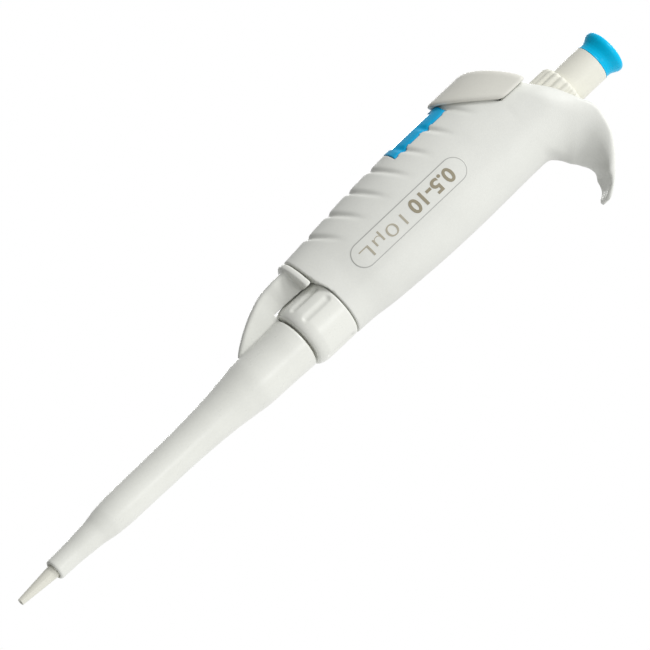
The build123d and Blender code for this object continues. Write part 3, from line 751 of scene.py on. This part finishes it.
def plastic(name, colour, rough, grain, grain_scale=3200, variation=0.03, shine=0.5):
    """Moulded plastic: fine spark-eroded grain, slow flow variation, faint handling haze."""
    mat, nodes, links, shader = node_material(name)
    coord = nodes.new("ShaderNodeTexCoord").outputs["Object"]
    flow = noise(nodes, links, coord, 70, 3)
    tint = ramp(
        nodes,
        links,
        flow.outputs["Fac"],
        [(0.3, scaled(colour, 1 - variation)), (0.5, colour), (0.72, scaled(colour, 1 + variation * 0.7))],
    )
    speck = noise(nodes, links, coord, 1500, 4, 0.6)
    dust = value_range(nodes, links, speck.outputs["Fac"], 0.985, 1.012, 0.35, 0.65)
    mix = nodes.new("ShaderNodeVectorMath")
    mix.operation = "SCALE"
    links.new(tint.outputs["Color"], mix.inputs[0])
    links.new(dust.outputs["Result"], mix.inputs["Scale"])
    links.new(mix.outputs["Vector"], shader.inputs["Base Color"])
    haze = noise(nodes, links, coord, 260, 5, 0.6)
    links.new(
        value_range(nodes, links, haze.outputs["Fac"], rough - 0.04, rough + 0.05).outputs["Result"],
        shader.inputs["Roughness"],
    )
    fine = noise(nodes, links, coord, grain_scale, 3, 0.6)
    relief = bump(nodes, links, fine.outputs["Fac"], grain, 0.00012)
    links.new(relief.outputs["Normal"], shader.inputs["Normal"])
    shader.inputs["IOR"].default_value = 1.5
    shader.inputs["Specular IOR Level"].default_value = shine
    return mat


def metal(name, colour, rough):
    """Turned or drawn metal with fine tool lines."""
    mat, nodes, links, shader = node_material(name)
    coord = nodes.new("ShaderNodeTexCoord").outputs["Object"]
    stretch = nodes.new("ShaderNodeMapping")
    stretch.inputs["Scale"].default_value = (300, 300, 9000)
    links.new(coord, stretch.inputs["Vector"])
    lines = noise(nodes, links, stretch.outputs["Vector"], 1.0, 3)
    stain = noise(nodes, links, coord, 400, 3)
    tint = ramp(nodes, links, stain.outputs["Fac"], [(0.3, scaled(colour, 0.9)), (0.7, colour)])
    links.new(tint.outputs["Color"], shader.inputs["Base Color"])
    links.new(
        value_range(nodes, links, lines.outputs["Fac"], rough - 0.06, rough + 0.1).outputs["Result"],
        shader.inputs["Roughness"],
    )
    relief = bump(nodes, links, lines.outputs["Fac"], 0.25, 0.00003)
    links.new(relief.outputs["Normal"], shader.inputs["Normal"])
    shader.inputs["Metallic"].default_value = 1.0
    return mat


def clear_lens():
    mat, nodes, links, shader = node_material("clear_lens")
    coord = nodes.new("ShaderNodeTexCoord").outputs["Object"]
    haze = noise(nodes, links, coord, 900, 4)
    blur = value_range(nodes, links, haze.outputs["Fac"], 0.02, 0.09)
    links.new(blur.outputs["Result"], shader.inputs["Roughness"])
    shader.inputs["Base Color"].default_value = (0.97, 0.985, 0.99, 1)
    shader.inputs["Transmission Weight"].default_value = 1.0
    shader.inputs["IOR"].default_value = 1.49
    return mat


def label_inlay(colour):
    """Body plastic with painted shade: a fine dark ring just inside the inlay's rounded outline stands in for
    the shade in its edge groove.
    """
    mat = plastic("label_grey_painted_groove_shade", colour, 0.46, 0.3)
    nodes, links = mat.node_tree.nodes, mat.node_tree.links
    shader = nodes["Principled BSDF"]
    coord = nodes.new("ShaderNodeTexCoord").outputs["Object"]
    split = nodes.new("ShaderNodeSeparateXYZ")
    links.new(coord, split.inputs[0])

    def math_node(source, operation, value):
        node = nodes.new("ShaderNodeMath")
        node.operation = operation
        links.new(source, node.inputs[0])
        if isinstance(value, float):
            node.inputs[1].default_value = value
        else:
            links.new(value, node.inputs[1])
        return node.outputs[0]

    v = math_node(split.outputs["Y"], "ADD", -LABEL_Y * MM)
    w = math_node(math_node(split.outputs["Z"], "ADD", -LABEL_Z * MM), "ABSOLUTE", 0.0)
    past = math_node(math_node(w, "SUBTRACT", (LABEL_L - LABEL_H) / 2 * MM), "MAXIMUM", 0.0)
    square = math_node(math_node(v, "MULTIPLY", v), "ADD", math_node(past, "MULTIPLY", past))
    far = math_node(square, "POWER", 0.5)
    # painted shade: base colour drops to about half in a thin ring 0.2 mm inside the outline, in place of the
    # groove's shade
    off = math_node(math_node(far, "SUBTRACT", (LABEL_H / 2 - 0.2) * MM), "ABSOLUTE", 0.0)
    line = value_range(nodes, links, off, 0.0, 1.0, 0.05 * MM, 0.2 * MM)
    tint = nodes.new("ShaderNodeMix")
    tint.data_type = "RGBA"
    tint.inputs["A"].default_value = (*scaled(colour, 0.52), 1)
    links.new(line.outputs["Result"], tint.inputs["Factor"])
    links.new(shader.inputs["Base Color"].links[0].from_socket, tint.inputs["B"])
    links.new(tint.outputs["Result"], shader.inputs["Base Color"])
    return mat


GREY = plastic("moulded_grey", srgb(226, 227, 221), 0.46, 0.35)
CREAM = plastic("moulded_cream", srgb(229, 228, 216), 0.38, 0.12)
LIGHT = plastic("moulded_light", srgb(232, 233, 226), 0.3, 0.12, shine=0.6)
SOFT = plastic("moulded_soft_grey", srgb(220, 219, 210), 0.42, 0.25)
BLUE_GLOSS = plastic("gloss_blue", srgb(0, 186, 232), 0.25, 0.05, variation=0.04, shine=0.12)
BLUE_PLATE = plastic("plate_blue", srgb(0, 170, 222), 0.36, 0.12, shine=0.3)
BLACK = plastic("moulded_black", srgb(34, 34, 36), 0.45, 0.3)
DRUM = plastic("drum_black", srgb(20, 20, 21), 0.5, 0.2)
ACETAL = plastic("acetal_white", srgb(236, 236, 230), 0.35, 0.12)
RUBBER = plastic("black_rubber", srgb(24, 24, 25), 0.7, 0.5, 2200)
STEEL = metal("drawn_steel", srgb(196, 197, 199), 0.28)
BRIGHT = metal("ground_steel", srgb(214, 215, 217), 0.14)
BRASS = metal("turned_brass", srgb(205, 172, 98), 0.3)
LENS = clear_lens()
INK = plastic("taupe_ink", srgb(150, 142, 120), 0.5, 0.1)
INK_LIGHT = plastic("pale_taupe_ink", srgb(176, 170, 152), 0.5, 0.1)
LABEL = label_inlay(srgb(226, 227, 221))
DIGIT = plastic("digit_white", srgb(240, 240, 236), 0.5, 0.1)

SLOTS = {
    "body_grey": GREY, "cream_plastic": CREAM, "blue_plate": BLUE_PLATE, "blue_cap": BLUE_GLOSS,
    "clear_lens": LENS, "frame_black": BLACK, "drum_black": DRUM, "acetal_white": ACETAL, "steel": STEEL,
    "steel_bright": BRIGHT, "brass": BRASS, "rubber": RUBBER,
}
for part in frame["record"]["subparts"]:
    node = frame["nodes"][part["node"]]
    node.data.materials.clear()
    node.data.materials.append(SLOTS[part["material_slot"]])
PIECES = [
    (handle, GREY), (pad, SOFT), (sleeve, LIGHT), (nut, LIGHT), (dial, CREAM), (button, CREAM),
    (cap, BLUE_GLOSS), (plate, BLUE_PLATE), (lens, LENS), (label, LABEL),
]
PIECES += zip(numerals, (INK, INK_LIGHT, DIGIT, DIGIT, DIGIT))
PIECES += [(coil, BRIGHT) for coil in springs]
for piece, mat in PIECES:
    piece.data.materials.append(mat)

# ------------------------------------------------------------------ camera, light, floor
scene = bpy.context.scene
scene.view_settings.view_transform = "Standard"
TILT = math.radians(16.26)
TURN = math.radians(46.66)
DISTANCE = 7.0  # metres; the long lens gives a nearly parallel view
SENSOR = 36
VIEW_WIDTH = 184.45  # millimetres across the picture at the part
to_camera = Vector((math.cos(TILT), 0, -math.sin(TILT)))
flat_right = Vector((0, 1, 0))
flat_up = Vector((math.sin(TILT), 0, math.cos(TILT)))
right = flat_right * math.cos(TURN) + flat_up * math.sin(TURN)
up = -flat_right * math.sin(TURN) + flat_up * math.cos(TURN)
TARGET_RIGHT, TARGET_UP = 86.4, 78.7
target = right * (TARGET_RIGHT * MM) + up * (TARGET_UP * MM)
camera = link_object("camera", bpy.data.cameras.new("camera"))
camera.data.sensor_width = SENSOR
camera.data.lens = SENSOR * DISTANCE / (VIEW_WIDTH * MM)
camera.data.clip_start, camera.data.clip_end = 0.05, 200
pose = Matrix((right, up, to_camera)).transposed().to_4x4()
pose.translation = target + to_camera * DISTANCE
camera.matrix_world = pose
scene.camera = camera

world = bpy.data.worlds.new("studio")
scene.world = world
world.use_nodes = True
nodes, links = world.node_tree.nodes, world.node_tree.links
back = nodes["Background"]
coord = nodes.new("ShaderNodeTexCoord")
lean = nodes.new("ShaderNodeVectorMath")
lean.operation = "DOT_PRODUCT"
lean.inputs[1].default_value = Vector((-0.15, 0.6, 0.8)).normalized()
links.new(coord.outputs["Generated"], lean.inputs[0])
side = nodes.new("ShaderNodeMapRange")
side.interpolation_type = "SMOOTHSTEP"
side.inputs["From Min"].default_value = -0.8
side.inputs["From Max"].default_value = 0.35
side.inputs["To Min"].default_value = 0.2
side.inputs["To Max"].default_value = 1.0
links.new(lean.outputs["Value"], side.inputs["Value"])
links.new(side.outputs["Result"], back.inputs["Strength"])
back.inputs["Color"].default_value = (1, 1, 1, 1)


def area(name, place, size, power, aim=(0, 0, 0.12)):
    """Round lamp at a place in metres, turned towards the part."""
    lamp = bpy.data.lights.new(name, "AREA")
    lamp.shape = "DISK"
    lamp.size = size
    lamp.energy = power
    obj = link_object(name, lamp)
    obj.location = place
    obj.rotation_mode = "QUATERNION"
    obj.rotation_quaternion = (Vector(aim) - Vector(place)).to_track_quat("-Z", "Y")


area("key", (1.55, -0.15, 2.05), 0.8, 26.5)
area("streak", (1.66, 0.8, 0.68), 0.3, 2.6)
area("back", (-1.9, -0.3, 0.9), 0.9, 9.0)

FLOOR_HALF, FLOOR_Z = 5, -16  # metres
CORNERS = ((-1, -1), (1, -1), (1, 1), (-1, 1))
floor = mesh_object("floor", [(a * FLOOR_HALF, b * FLOOR_HALF, FLOOR_Z) for a, b in CORNERS], [(0, 1, 2, 3)])
floor_mat, nodes, links, shader = node_material("pale_floor")
coord = nodes.new("ShaderNodeTexCoord").outputs["Object"]
cloud = noise(nodes, links, coord, 1.5, 3)
tint = ramp(nodes, links, cloud.outputs["Fac"], [(0.3, (0.78, 0.78, 0.77)), (0.7, (0.81, 0.81, 0.80))])
links.new(tint.outputs["Color"], shader.inputs["Base Color"])
shader.inputs["Roughness"].default_value = 0.8
floor.data.materials.append(floor_mat)
